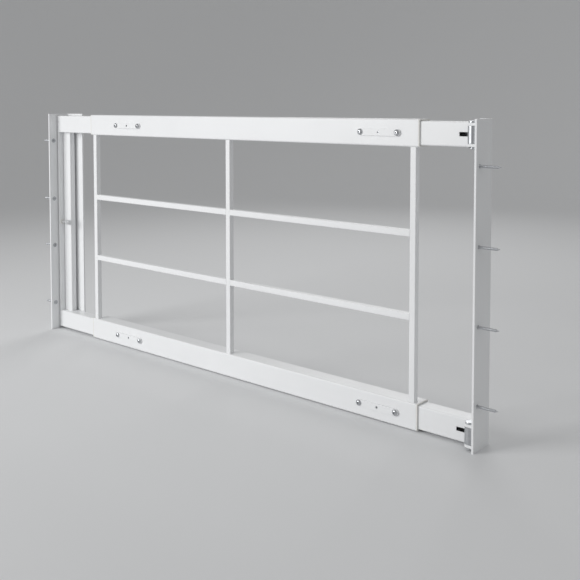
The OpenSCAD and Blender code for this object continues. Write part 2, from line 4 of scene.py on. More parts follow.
import bmesh
import bpy
from bpy.props import FloatProperty, FloatVectorProperty, PointerProperty
from bpy.types import Operator, Panel, PropertyGroup
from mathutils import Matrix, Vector


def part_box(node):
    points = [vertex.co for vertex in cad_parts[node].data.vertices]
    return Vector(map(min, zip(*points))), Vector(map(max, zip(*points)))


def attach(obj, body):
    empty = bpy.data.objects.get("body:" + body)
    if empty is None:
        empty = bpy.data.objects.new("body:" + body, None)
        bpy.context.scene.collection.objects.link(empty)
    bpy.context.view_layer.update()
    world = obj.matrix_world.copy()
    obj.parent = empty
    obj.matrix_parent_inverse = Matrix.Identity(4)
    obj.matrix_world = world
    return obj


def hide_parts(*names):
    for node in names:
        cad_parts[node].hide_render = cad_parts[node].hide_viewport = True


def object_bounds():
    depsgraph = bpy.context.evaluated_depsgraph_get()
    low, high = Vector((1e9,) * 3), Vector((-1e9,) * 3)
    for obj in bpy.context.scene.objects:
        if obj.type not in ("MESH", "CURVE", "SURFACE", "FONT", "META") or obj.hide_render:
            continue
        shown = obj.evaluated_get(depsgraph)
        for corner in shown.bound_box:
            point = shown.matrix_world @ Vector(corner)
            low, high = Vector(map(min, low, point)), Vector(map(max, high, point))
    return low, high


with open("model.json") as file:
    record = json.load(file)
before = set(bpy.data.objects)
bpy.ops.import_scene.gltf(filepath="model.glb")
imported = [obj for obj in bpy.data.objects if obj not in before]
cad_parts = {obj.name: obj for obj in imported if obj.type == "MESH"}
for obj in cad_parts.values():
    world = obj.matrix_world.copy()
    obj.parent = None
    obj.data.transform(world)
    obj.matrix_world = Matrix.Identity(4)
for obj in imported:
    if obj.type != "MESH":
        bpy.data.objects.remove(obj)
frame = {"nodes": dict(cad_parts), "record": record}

bl_info = {
    "name": "Window Security Grille",
    "version": (1, 0, 0),
    "blender": (4, 5, 0),
    "location": "View3D > Sidebar > Grille",
    "description": "Builds the finished pieces of a telescopic window grille and its studio",
    "category": "Object",
}

MM = 0.001
X, Y, Z = 0, 1, 2
CAD_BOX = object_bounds()

# The camera's place in metres, its tilt down and turn to the left in degrees, its lens in
# millimetres, and its shift as a share of the frame.
CAMERA_PLACE = (1.55405, -1.03741, 0.24819)
CAMERA_TILT = 3
CAMERA_TURN = 40.7027
CAMERA_LENS = 52.875
CAMERA_SHIFT = -0.2425

# Each softbox's name, its place and side in metres, and its watts.
SOFTBOXES = (
    ("key_softbox", (-0.8, -2.3, 0.75), 1.5, 12.8),
    ("side_softbox", (2.9, -0.9, 1.2), 1.4, 0.6),
    ("back_softbox", (-0.6, 2.4, 1.5), 1.6, 5),
)
# The cone that each softbox's light keeps within, and the strength of the even light all round.
SOFTBOX_CONE = math.radians(90)
AIR_LIGHT = 0.42

# The floor's flat radius, the radius of its sweep, the sweep's angle and the height it ends at.
FLOOR_FLAT, FLOOR_SWEEP, FLOOR_TURN, FLOOR_TOP = 2.6, 3.2, math.radians(52), 2.8

# From a clamp's middle to either of its screws.
CLAMP_REACH = 33 * MM


# ---- places, read from the loaded frame ----

def low(node):
    """The lowest corner of a CAD node."""
    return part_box(node)[0]


def high(node):
    """The highest corner of a CAD node."""
    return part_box(node)[1]


def middle(node):
    """The centre of a CAD node."""
    return (low(node) + high(node)) / 2


def screw_heights(side):
    """The heights of a bracket's four wall screws, from the record's mounts."""
    radii = [m["dims"]["pcd_mm"] / 2 * MM
             for m in frame["record"]["mounts"] if m["name"].startswith(side)]
    return sorted([-r for r in radii] + radii)


RAIL_Z = middle("top_sleeve").z
BOLT_AXIS = middle("lock_bolt")
HINGE_X = middle("hinge_pins").x


def linear(code):
    """Linear RGBA from an sRGB hex code."""
    parts = [int(code[i:i + 2], 16) / 255 for i in (1, 3, 5)]
    return [p / 12.92 if p <= 0.04045 else ((p + 0.055) / 1.055) ** 2.4 for p in parts] + [1.0]


# ---- sizes and colours that a user would change ----

def length(name, description, default):
    """A length, its default in millimetres."""
    return FloatProperty(name=name, description=description, default=default * MM,
                         min=0.0, precision=5, subtype="DISTANCE", unit="LENGTH")


def colour(name, description, default):
    """A colour, its default an sRGB hex code."""
    return FloatVectorProperty(name=name, description=description, default=linear(default),
                               size=4, min=0.0, max=1.0, subtype="COLOR")


class GrilleSizes(PropertyGroup):
    """Sizes of the grille's details; its main sizes come from the loaded frame"""

    tube_wall: length("Tube wall", "Wall of the sleeves and arms", 1.5)
    sleeve_corner: length("Sleeve corner", "Outer corner radius of a sleeve", 2.2)
    arm_corner: length("Arm corner", "Outer corner radius of an arm", 2.0)
    bar_corner: length("Bar corner", "Corner radius of the square bars", 1.0)
    weld: length("Weld", "Leg of the fillet weld at the ends of a bar", 1.0)
    edge: length("Edge", "Radius that the powder coat leaves on a sheared edge", 0.4)
    slot_w: length("Slot width", "Width of the slots in the arms", 6.0)
    sheet: length("Sheet", "Thickness of a wall bracket", 3.0)
    bend: length("Bend", "Outer bend radius of a wall bracket", 4.5)
    thread_pitch: length("Thread pitch", "Pitch of a wall screw's thread", 2.0)
    thread_depth: length("Thread depth", "Depth of a wall screw's thread", 0.65)
    knurl: length("Knurl", "Depth of the grooves round the knob", 0.22)


class GrilleColours(PropertyGroup):
    """Colours of the grille's finishes and of the studio"""

    coat: colour("Powder coat", "White powder coat", "#EFF0F1")
    zinc: colour("Zinc", "Bright zinc plating", "#CBCDD0")
    steel: colour("Steel", "Polished steel of the lock bolt", "#ECEDEE")
    nylon: colour("Nylon", "Moulded nylon of the guides", "#E9E8E4")
    studio: colour("Studio", "Floor and backdrop", "#E3E4E5")


def sizes():
    """The sizes that the panel shows."""
    return bpy.context.scene.grille_sizes


def colours():
    """The colours that the panel shows."""
    return bpy.context.scene.grille_colours


# ---- modelling steps ----

def leave():
    """Back to object mode with nothing selected."""
    if bpy.context.mode != "OBJECT":
        bpy.ops.object.mode_set(mode="OBJECT")
    bpy.ops.object.select_all(action="DESELECT")


def pick(*objs):
    """Selects only these, the first of them active."""
    leave()
    for obj in objs:
        obj.select_set(True)
    bpy.context.view_layer.objects.active = objs[0]


def settle(name):
    """Names the new primitive and puts its place into its mesh."""
    obj = bpy.context.active_object
    obj.name = obj.data.name = name
    bpy.ops.object.transform_apply(location=True, rotation=True, scale=True)
    return obj


def block(name, lowest, highest):
    """A box between two corners."""
    leave()
    a, b = Vector(lowest), Vector(highest)
    bpy.ops.mesh.primitive_cube_add(size=1, location=(a + b) / 2, scale=b - a)
    return settle(name)


def rod(name, start, end, radius, sides=48):
    """A round or many-sided prism from start to end."""
    leave()
    a, b = Vector(start), Vector(end)
    bpy.ops.mesh.primitive_cylinder_add(
        vertices=sides, radius=radius, depth=(b - a).length, location=(a + b) / 2,
        rotation=(b - a).to_track_quat("Z", "Y").to_euler())
    return settle(name)


def choose(obj, kind, test):
    """Edit mode with only the parts of one kind selected that pass the test."""
    pick(obj)
    bpy.ops.object.mode_set(mode="EDIT")
    bpy.ops.mesh.select_mode(type=kind)
    bpy.ops.mesh.select_all(action="DESELECT")
    mesh = bmesh.from_edit_mesh(obj.data)
    found = [p for p in (mesh.edges if kind == "EDGE" else mesh.faces) if test(p)]
    if not found:
        raise RuntimeError(f"nothing to select on {obj.name}")
    for part in found:
        part.select_set(True)
    bmesh.update_edit_mesh(obj.data)


def round_edges(obj, axis, radius, segments, where=None):
    """Rounds the edges that run along an axis, or those of them whose middle passes where."""
    def runs(edge):
        a, b = (v.co for v in edge.verts)
        return abs((b - a)[axis]) > 0.99 * (b - a).length and (where is None or where((a + b) / 2))
    choose(obj, "EDGE", runs)
    bpy.ops.mesh.bevel(offset=radius, segments=segments, affect="EDGES")
    leave()


def modify(obj, kind, **settings):
    """Adds a modifier with its settings and applies it."""
    pick(obj)
    modifier = obj.modifiers.new(kind, kind)
    for key, value in settings.items():
        setattr(modifier, key, value)
    bpy.ops.object.modifier_apply(modifier=modifier.name)


def combine(obj, tool, operation):
    """Cuts a tool out of a piece, or welds it on, and takes the tool away."""
    modify(obj, "BOOLEAN", object=tool, operation=operation, solver="EXACT")
    bpy.data.meshes.remove(tool.data)


def cut(obj, tool):
    """Cuts a tool out of a piece."""
    combine(obj, tool, "DIFFERENCE")


def weld_on(obj, tool):
    """Makes a tool part of a piece."""
    combine(obj, tool, "UNION")


def outward(obj):
    """Turns every face outwards."""
    choose(obj, "FACE", lambda face: True)
    bpy.ops.mesh.normals_make_consistent(inside=False)
    leave()


def tube(name, lowest, highest, axis, corner, wall):
    """A hollow section along an axis, with round corners and open ends."""
    obj = block(name, lowest, highest)
    round_edges(obj, axis, corner, 5)
    choose(obj, "FACE", lambda face: abs(face.normal[axis]) > 0.9)
    bpy.ops.mesh.delete(type="ONLY_FACE")
    leave()
    modify(obj, "SOLIDIFY", thickness=wall, offset=-1, use_even_offset=True)
    return obj


def pill(name, lowest, highest, axis, radius):
    """A plate with round ends, or the tool for a slot, rounded along an axis. The radius stays
    just under half the width, because a full half would close the bevel's flat end."""
    obj = block(name, lowest, highest)
    round_edges(obj, axis, radius, 10)
    return obj


def turned(name, base, axis, rings, sides=40):
    """A turned shape: a disc at base, drawn along an axis to each ring's distance and radius."""
    leave()
    direction, base = Vector(axis).normalized(), Vector(base)
    far, radius = rings[0]
    bpy.ops.mesh.primitive_circle_add(
        vertices=sides, radius=radius, fill_type="NGON", location=base + direction * far,
        rotation=direction.to_track_quat("Z", "Y").to_euler())
    obj = settle(name)
    choose(obj, "FACE", lambda face: True)
    for next_far, next_radius in rings[1:]:
        bpy.ops.mesh.extrude_region_move(
            TRANSFORM_OT_translate={"value": direction * (next_far - far)})
        bpy.ops.transform.resize(value=(next_radius / radius,) * 3,
                                 center_override=base + direction * next_far)
        far, radius = next_far, next_radius
    leave()
    outward(obj)
    return obj


def copied(obj, name, offset=(0, 0, 0), mirror=None):
    """A copy with its own mesh, moved by offset or mirrored in (axis, place of the mirror)."""
    twin = obj.copy()
    twin.data = obj.data.copy()
    twin.name = twin.data.name = name
    bpy.context.collection.objects.link(twin)
    twin.location = offset
    if mirror:
        axis, place = mirror
        twin.scale[axis] = -1
        twin.location[axis] += 2 * place
    pick(twin)
    bpy.ops.object.transform_apply(location=True, rotation=True, scale=True)
    if mirror:
        outward(twin)
    return twin


def joined(name, objs):
    """One piece made of several."""
    pick(*objs)
    bpy.ops.object.join()
    objs[0].name = objs[0].data.name = name
    return objs[0]


def fit_out(obj, body, finish, nodes, edge=0.0, angle=35):
    """Rounds a piece's edges, smooths it, paints it and hangs it on its body."""
    if edge:
        modify(obj, "BEVEL", width=edge, segments=3, limit_method="ANGLE",
               angle_limit=math.radians(32), miter_outer="MITER_ARC")
    pick(obj)
    bpy.ops.object.shade_smooth_by_angle(angle=math.radians(angle))
    modify(obj, "WEIGHTED_NORMAL", keep_sharp=True)
    obj.data.materials.clear()
    obj.data.materials.append(finish)
    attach(obj, body)
    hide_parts(*nodes)
    leave()


def paint_node(node, finish):
    """Gives a CAD node that stays in view its finish."""
    for place in range(len(frame["nodes"][node].material_slots)):
        frame["nodes"][node].material_slots[place].material = finish


# ---- finishes ----

def add(tree, kind, values=None, links=None, **settings):
    """Adds one shader node with its settings, its inputs' values and their links."""
    made = tree.nodes.new(kind)
    for key, value in settings.items():
        setattr(made, key, value)
    for key, value in (values or {}).items():
        made.inputs[key].default_value = value
    for key, source in (links or {}).items():
        tree.links.new(source, made.inputs[key])
    return made


def new_finish(name):
    """An empty material with its tree and the piece's own coordinates."""
    finish = bpy.data.materials.new(name)
    finish.use_nodes = True
    tree = finish.node_tree
    tree.nodes.clear()
    return finish, tree, add(tree, "ShaderNodeTexCoord").outputs["Object"]


def noise(tree, place, size_mm, detail=2.0, roughness=0.5):
    """Cloudy variation whose clouds are about size_mm across."""
    return add(tree, "ShaderNodeTexNoise",
               {"Scale": 1 / (size_mm * MM), "Detail": detail, "Roughness": roughness},
               {"Vector": place}).outputs["Fac"]


def spread(tree, source, least, most):
    """Maps a noise, which keeps near a half, to a range."""
    return add(tree, "ShaderNodeMapRange",
               {"From Min": 0.3, "From Max": 0.7, "To Min": least, "To Max": most},
               {"Value": source}).outputs["Result"]


def shade(tree, source, first, second):
    """A colour between two, by a value."""
    mix = add(tree, "ShaderNodeMix", data_type="RGBA")
    mix.inputs[6].default_value = first
    mix.inputs[7].default_value = second
    tree.links.new(source, mix.inputs[0])
    return mix.outputs[2]


def toned(rgba, factor):
    """A colour made lighter or darker."""
    return [min(1.0, c * factor) for c in rgba[:3]] + [1.0]


def close(tree, shader):
    """Ends a finish in its shader."""
    add(tree, "ShaderNodeOutputMaterial", None, {"Surface": shader.outputs[0]})


def powder_coat(name, gloss):
    """Polyester powder on steel, baked at 200 degrees: an even white skin with a satin
    sheen, slightly pebbled where the powder flowed together."""
    finish, tree, place = new_finish(name)
    white = list(colours().coat)
    tone = spread(tree, noise(tree, place, 140, 3), 0, 1)
    # The pebbles are about 1 mm on the real coat and are drawn 2.5 mm across to show.
    pebbles = noise(tree, place, 2.5, 1)
    bump = add(tree, "ShaderNodeBump", {"Strength": 0.05, "Distance": 0.05 * MM},
               {"Height": pebbles})
    shader = add(tree, "ShaderNodeBsdfPrincipled", {"IOR": 1.5}, {
        "Base Color": shade(tree, tone, toned(white, 0.97), white),
        "Roughness": spread(tree, noise(tree, place, 35, 4), gloss - 0.03, gloss + 0.05),
        "Normal": bump.outputs["Normal"]})
    close(tree, shader)
    return finish


def zinc_plate(name, gloss):
    """Bright zinc with a clear passivate: cool silver, a little clouded by handling."""
    finish, tree, place = new_finish(name)
    zinc = list(colours().zinc)
    clouds = spread(tree, noise(tree, place, 5, 4, 0.6), 0, 1)
    # The steel's own grain under the plating is about 0.2 mm and is drawn 0.8 mm across to show.
    grain = noise(tree, place, 0.8, 2)
    bump = add(tree, "ShaderNodeBump", {"Strength": 0.08, "Distance": 0.03 * MM},
               {"Height": grain})
    shader = add(tree, "ShaderNodeBsdfPrincipled", {"Metallic": 1.0}, {
        "Base Color": shade(tree, clouds, toned(zinc, 0.86), zinc),
        "Roughness": spread(tree, clouds, gloss + 0.07, gloss - 0.03),
        "Normal": bump.outputs["Normal"]})
    close(tree, shader)
    return finish


def turned_steel(name):
    """Steel turned on a lathe and polished: bright, with fine rings from the tool."""
    finish, tree, place = new_finish(name)
    steel = list(colours().steel)
    # The tool's feed is about 0.1 mm and is drawn as 1.2 mm rings to show. At a scale of 1 the
    # bands repeat every tau / 20 metres.
    rings = add(tree, "ShaderNodeTexWave",
                {"Scale": math.tau / 20 / (1.2 * MM), "Distortion": 0.4, "Detail": 1.0},
                {"Vector": place}, wave_type="BANDS", bands_direction="X").outputs["Fac"]
    bump = add(tree, "ShaderNodeBump", {"Strength": 0.1, "Distance": 0.02 * MM},
               {"Height": rings})
    shader = add(tree, "ShaderNodeBsdfPrincipled", {"Metallic": 1.0}, {
        "Base Color": shade(tree, spread(tree, noise(tree, place, 4, 3), 0, 1),
                            toned(steel, 0.93), steel),
        "Roughness": spread(tree, noise(tree, place, 2, 3), 0.28, 0.36),
        "Normal": bump.outputs["Normal"]})
    close(tree, shader)
    return finish


def moulded_nylon(name):
    """Injection-moulded nylon: milky white, dull, with a spark-eroded skin."""
    finish, tree, place = new_finish(name)
    nylon = list(colours().nylon)
    # The mould's texture is about 0.3 mm and is drawn 0.9 mm across to show.
    grain = noise(tree, place, 0.9, 2)
    bump = add(tree, "ShaderNodeBump", {"Strength": 0.12, "Distance": 0.03 * MM},
               {"Height": grain})
    shader = add(tree, "ShaderNodeBsdfPrincipled", {"IOR": 1.53}, {
        "Base Color": shade(tree, spread(tree, noise(tree, place, 20, 2), 0, 1),
                            toned(nylon, 0.96), nylon),
        "Roughness": spread(tree, noise(tree, place, 8, 3), 0.42, 0.55),
        "Normal": bump.outputs["Normal"]})
    close(tree, shader)
    return finish


def studio_paint(name):
    """Matt emulsion on a seamless studio floor: even, with no shine."""
    finish, tree, place = new_finish(name)
    pale = list(colours().studio)
    shader = add(tree, "ShaderNodeBsdfPrincipled", {"Roughness": 0.9}, {
        "Base Color": shade(tree, noise(tree, place, 900, 2), toned(pale, 0.985), pale)})
    close(tree, shader)
    return finish


FINISHES = {
    "white_powder_coat_on_tube": lambda name: powder_coat(name, 0.34),
    "white_powder_coat_on_bar": lambda name: powder_coat(name, 0.36),
    "white_powder_coat_on_sheet": lambda name: powder_coat(name, 0.38),
    "bright_zinc_screws": lambda name: zinc_plate(name, 0.26),
    "bright_zinc_wood_screws": lambda name: zinc_plate(name, 0.42),
    "bright_zinc_plates": lambda name: zinc_plate(name, 0.36),
    "polished_turned_steel": turned_steel,
    "white_moulded_nylon": moulded_nylon,
    "pale_studio_emulsion": studio_paint,
}


def finish(name):
    """A finish by its name, made the first time it is asked for."""
    return bpy.data.materials.get(name) or FINISHES[name](name)


# ---- stage ----

class GRILLE_OT_stage(Operator):
    """Camera, soft lights and a seamless pale floor that runs up into a round backdrop"""

    bl_idname = "grille.stage"
    bl_label = "Studio"

    def execute(self, context):
        scene = context.scene
        leave()
        bpy.ops.object.camera_add(
            location=CAMERA_PLACE,
            rotation=(math.radians(90 - CAMERA_TILT), 0, math.radians(CAMERA_TURN)))
        camera = context.active_object
        camera.name = "studio_camera"
        camera.data.lens = CAMERA_LENS
        camera.data.shift_y = CAMERA_SHIFT
        camera.data.clip_start = 0.05
        camera.data.clip_end = 50
        scene.camera = camera

        floor_z = CAD_BOX[0].z
        centre = (CAD_BOX[0] + CAD_BOX[1]) / 2
        rings = [(0, FLOOR_FLAT)]
        for step in range(1, 13):
            turn = FLOOR_TURN * step / 12
            rings.append((FLOOR_SWEEP * (1 - math.cos(turn)),
                          FLOOR_FLAT + FLOOR_SWEEP * math.sin(turn)))
        # From the sweep's end the backdrop leans straight out to its top, which stays open.
        rings.append((FLOOR_TOP, rings[-1][1] + 1.25))
        bowl = turned("studio_floor", (centre.x, centre.y, floor_z), (0, 0, 1), rings, 96)
        choose(bowl, "FACE", lambda face: face.calc_center_median().z > floor_z + FLOOR_TOP - 0.1)
        bpy.ops.mesh.delete(type="ONLY_FACE")
        leave()
        pick(bowl)
        bpy.ops.object.shade_smooth_by_angle(angle=math.radians(30))
        bowl.data.materials.append(finish("pale_studio_emulsion"))

        world = bpy.data.worlds.new("studio_air")
        world.use_nodes = True
        air = world.node_tree.nodes["Background"].inputs
        air["Color"].default_value = (1, 1, 1, 1)
        air["Strength"].default_value = AIR_LIGHT
        scene.world = world
        # The lights point a little left of the grille's middle.
        aim = centre - Vector((0.15, 0, 0))
        for name, place, size, watts in SOFTBOXES:
            leave()
            place = Vector(place)
            bpy.ops.object.light_add(
                type="AREA", location=place,
                rotation=(place - aim).to_track_quat("Z", "Y").to_euler())
            light = context.active_object
            light.name = name
            light.data.size = size
            light.data.energy = watts
            light.data.spread = SOFTBOX_CONE
            light.visible_camera = False
        scene.view_settings.view_transform = "Standard"
        return {"FINISHED"}


# ---- wall brackets ----

def angle_sheet(name, node):
    """A folded angle with its wall leg on the low side in X and its back leg behind."""
    a, b = low(node), high(node)
    s = sizes()
    leave()
    bpy.ops.mesh.primitive_plane_add(
        size=1, location=(a.x, (a.y + b.y) / 2, (a.z + b.z) / 2),
        rotation=(0, math.radians(-90), 0))
    bpy.ops.transform.resize(value=(1, b.y - a.y, b.z - a.z))
    obj = settle(name)
    choose(obj, "EDGE", lambda edge: all(v.co.y > b.y - 1e-5 for v in edge.verts))
    bpy.ops.mesh.extrude_edges_move(TRANSFORM_OT_translate={"value": (b.x - a.x, 0, 0)})
    leave()
    round_edges(obj, Z, s.bend, 8, lambda m: m.x < a.x + 1e-5 and m.y > b.y - 1e-5)
    outward(obj)
    face = obj.data.polygons[0]
    inward = face.normal.dot((a + b) / 2 - face.center) > 0
    modify(obj, "SOLIDIFY", thickness=s.sheet, offset=1 if inward else -1,
           use_even_offset=True)
    outward(obj)
    return obj


def countersink(x, height, sheet):
    """The tool for a countersunk screw hole that opens towards +X."""
    neck, mouth = 2.9 * MM, 4.9 * MM
    return turned("tool", (x, 0, height), (1, 0, 0), [
        (-1 * MM, neck), (1 * MM, neck), (sheet, mouth), (sheet + 1 * MM, mouth + 1 * MM)])


class GRILLE_OT_brackets(Operator):
    """Two folded steel angles, countersunk for the wall screws, the left one holed for the bolt"""

    bl_idname = "grille.brackets"
    bl_label = "Wall brackets"

    def execute(self, context):
        s = sizes()
        left = angle_sheet("left_angle", "left_wall_bracket")
        for height in screw_heights("left"):
            cut(left, countersink(low("left_wall_bracket").x, height, s.sheet))
        bolt = (0, BOLT_AXIS.y, BOLT_AXIS.z)
        cut(left, rod("tool", (-1 * MM, bolt[1], bolt[2]), (s.sheet + 1 * MM, bolt[1], bolt[2]),
                      3.6 * MM))
        fit_out(left, "left_bracket",
                finish("white_powder_coat_on_sheet"), ["left_wall_bracket"], s.edge)

        a, b = low("right_wall_bracket"), high("right_wall_bracket")
        flipped = angle_sheet("flipped", "right_wall_bracket")
        for height in screw_heights("right"):
            cut(flipped, countersink(a.x, height, s.sheet))
        right = copied(flipped, "right_angle", mirror=(X, (a.x + b.x) / 2))
        bpy.data.meshes.remove(flipped.data)
        fit_out(right, "right_bracket",
                finish("white_powder_coat_on_sheet"), ["right_wall_bracket"], s.edge)
        return {"FINISHED"}


def wall_screw(name):
    """A countersunk wood screw along X, its head on the +X side, its neck at the origin."""
    s = sizes()
    shank, tip = 27 * MM, 5 * MM
    outer, neck = 2.25 * MM, 2.6 * MM
    core = outer - s.thread_depth
    step = s.thread_pitch / 6
    thread_start = 1.5 * MM - shank - tip
    rings = [(-shank - tip, 0.12 * MM)]
    far = -shank - tip + step
    while far < -0.05 * MM - step:
        rings.append((far, outer * min(1.0, (far + shank + tip) / tip)))
        far += step
    rings += [(0, outer), (0, neck), (1 * MM, neck), (2.9 * MM, 4.5 * MM),
              (3.0 * MM, 4.6 * MM), (3.15 * MM, 4.5 * MM), (3.3 * MM, 3.7 * MM),
              (3.42 * MM, 2.5 * MM), (3.48 * MM, 1.0 * MM)]
    screw = turned(name, (0, 0, 0), (1, 0, 0), rings, 28)
    # The thread is a ridge over five eighths of its pitch, with the core between its turns.
    for vertex in screw.data.vertices:
        x, y, z = vertex.co
        if thread_start < x < -0.2 * MM:
            turn = (x / s.thread_pitch + math.atan2(z, y) / math.tau) % 1
            crest = max(0.0, 1 - abs(turn - 0.5) * 3.2)
            factor = (core + (outer - core) * crest) / outer
            vertex.co.y *= factor
            vertex.co.z *= factor
    # The cross recess is one flat tool, cut straight and again a quarter round.
    for turn in (0, 90):
        leave()
        bpy.ops.mesh.primitive_cube_add(
            size=1, location=(3.1 * MM, 0, 0), rotation=(math.radians(turn), 0, 0),
            scale=(2.8 * MM, 4.6 * MM, 1.1 * MM))
        cut(screw, settle("tool"))
    return screw


class GRILLE_OT_wall_screws(Operator):
    """Eight countersunk wood screws with cross recesses and cut threads, four a side"""

    bl_idname = "grille.wall_screws"
    bl_label = "Wall screws"

    def execute(self, context):
        model = wall_screw("screw_model")
        mirrored = copied(model, "mirrored_screw_model", mirror=(X, 0))
        for side, pattern, x in (("left", model, 0.0),
                                 ("right", mirrored, high("right_wall_bracket").x)):
            screws = [copied(pattern, f"{side}_screw", (x, 0, height))
                      for height in screw_heights(side)]
            fit_out(joined(f"{side}_wood_screws", screws), f"{side}_bracket",
                    finish("bright_zinc_wood_screws"),
                    [f"{side}_wall_screws"])
        bpy.data.meshes.remove(model.data)
        bpy.data.meshes.remove(mirrored.data)
        return {"FINISHED"}


# ---- arms and left end ----

class GRILLE_OT_arms(Operator):
    """Four rectangular tubes, slotted for the clamps, the right ones also at the hinge"""

    bl_idname = "grille.arms"
    bl_label = "Arms"

    def execute(self, context):
        s = sizes()
        half = s.slot_w / 2
        # An arm slides 30 mm in and 80 mm out, and its slot ends 4 mm past the clamp's screws.
        travel_in, travel_out, past = 30 * MM, 80 * MM, 4 * MM
        near, far = CLAMP_REACH + travel_in + past, CLAMP_REACH + travel_out + past
        for side, back, forth in (("left", near, far), ("right", far, near)):
            node = f"upper_{side}_arm"
            a, b = low(node), high(node)
            front = (a.y - 1 * MM, a.y + s.tube_wall + 1 * MM)
            arm = tube(f"{side}_arm_model", a, b, X, s.arm_corner, s.tube_wall)
            clamp = middle(f"top_{side}_clamp_plate").x
            cut(arm, pill("tool", (clamp - back, front[0], RAIL_Z - half),
                          (clamp + forth, front[1], RAIL_Z + half), Y, half * 0.999))
            if side == "right":
                slot_start, slot_end = HINGE_X - 26 * MM, HINGE_X - 4 * MM
                cut(arm, block("tool", (slot_start, a.y - 1 * MM, RAIL_Z - half),
                               (slot_end, b.y + 1 * MM, RAIL_Z + half)))
            for height, drop in (("upper", 0), ("lower", -2 * RAIL_Z)):
                fit_out(copied(arm, f"{height}_{side}_tube", (0, 0, drop)), f"{side}_arms",
                        finish("white_powder_coat_on_tube"),
                        [f"{height}_{side}_arm"], s.edge)
            bpy.data.meshes.remove(arm.data)
        return {"FINISHED"}


class GRILLE_OT_left_end(Operator):
    """The plate across the ends of the left arms, the post behind it and the bolt's bush"""

    bl_idname = "grille.left_end"
    bl_label = "Left end"

    def execute(self, context):
        s = sizes()
        a, b = low("left_end_plate"), high("left_end_plate")
        y, z = BOLT_AXIS.y, BOLT_AXIS.z
        plate = block("end_plate", a, b)
        cut(plate, rod("tool", (a.x - 1 * MM, y, z), (b.x + 1 * MM, y, z), 4 * MM))
        fit_out(plate, "left_arms",
                finish("white_powder_coat_on_sheet"), ["left_end_plate"], s.edge)

        post = tube("post_tube", low("left_post"), high("left_post"), Z, 1.8 * MM, 1.5 * MM)
        fit_out(post, "left_arms", finish("white_powder_coat_on_bar"),
                ["left_post"], 0.2 * MM)

        a, b = low("bolt_bush"), high("bolt_bush")
        whole, thick = b.x - a.x, 1.5 * MM
        body, flange = 3.98 * MM, 4.75 * MM
        stem_bore, head_bore = 2.6 * MM, 3.3 * MM
        bush = turned("bush", (a.x, y, z), (1, 0, 0), [
            (0, body), (whole - thick, body), (whole - thick, flange),
            (whole - 0.3 * MM, flange), (whole, 4.4 * MM)])
        cut(bush, rod("tool", (a.x - 1 * MM, y, z), (b.x + 1 * MM, y, z), stem_bore))
        cut(bush, rod("tool", (a.x - 1 * MM, y, z), (b.x - thick, y, z), head_bore))
        fit_out(bush, "left_arms", finish("white_moulded_nylon"), ["bolt_bush"])
        return {"FINISHED"}


class GRILLE_OT_lock(Operator):
    """The sliding lock bolt with its head, and the knurled knob that draws it"""

    bl_idname = "grille.lock"
    bl_label = "Lock bolt"

    def execute(self, context):
        s = sizes()
        y, z = BOLT_AXIS.y, BOLT_AXIS.z
        a, b = low("lock_bolt").x, high("lock_bolt").x
        stem, head = 2.5 * MM, 3.25 * MM
        bolt = turned("bolt", (0, y, z), (1, 0, 0), [
            (a, 2.7 * MM), (a + 0.55 * MM, head), (a + 3.5 * MM, head),
            (a + 3.7 * MM, 3.05 * MM), (a + 3.7 * MM, stem), (b, stem)])
        fit_out(bolt, "lock_bolt", finish("polished_turned_steel"),
                ["lock_bolt"])

        a, b = low("lock_knob").x, high("lock_knob").x
        grip = (a + 1.8 * MM, b - 1.8 * MM)
        sides, rim, groove = 72, 4.8 * MM, 4.5 * MM
        knob = turned("knob", (0, y, z), (1, 0, 0), [
            (a, 4.0 * MM), (a + 0.25 * MM, groove), (a + 0.8 * MM, rim),
            (a + 1.5 * MM, rim), (a + 1.6 * MM, groove), (grip[0], groove),
            (grip[0] + 0.1 * MM, rim), (grip[1] - 0.1 * MM, rim),
            (grip[1], groove), (b - 1.6 * MM, groove), (b - 1.5 * MM, rim),
            (b - 0.8 * MM, rim), (b - 0.25 * MM, groove), (b, 4.0 * MM),
            (b, 2.2 * MM), (b - 0.3 * MM, 1.6 * MM)], sides)
        # The knurl is a straight groove at every third side of the grip.
        for vertex in knob.data.vertices:
            x, across, up = vertex.co.x, vertex.co.y - y, vertex.co.z - z
            count = round(math.atan2(up, across) / math.tau * sides)
            on_grip = grip[0] < x < grip[1] and math.hypot(across, up) > rim - 0.1 * MM
            if on_grip and count % 3 == 0:
                factor = 1 - s.knurl / rim
                vertex.co.y = y + across * factor
                vertex.co.z = z + up * factor
        cut(knob, rod("tool", (a - 1 * MM, y, z), (a + 7 * MM, y, z), 2.55 * MM))
        fit_out(knob, "lock_bolt", finish("polished_turned_steel"),
                ["lock_knob"], angle=25)
        return {"FINISHED"}


# ---- centre panel ----

class GRILLE_OT_sleeves(Operator):
    """The two long sleeves that the arms slide in"""

    bl_idname = "grille.sleeves"
    bl_label = "Sleeves"

    def execute(self, context):
        s = sizes()
        for name, node in (("top_sleeve_tube", "top_sleeve"),
                           ("bottom_sleeve_tube", "bottom_sleeve")):
            sleeve = tube(name, low(node), high(node), X, s.sleeve_corner, s.tube_wall)
            fit_out(sleeve, "centre_panel",
                    finish("white_powder_coat_on_tube"), [node], 0.3 * MM)
        return {"FINISHED"}


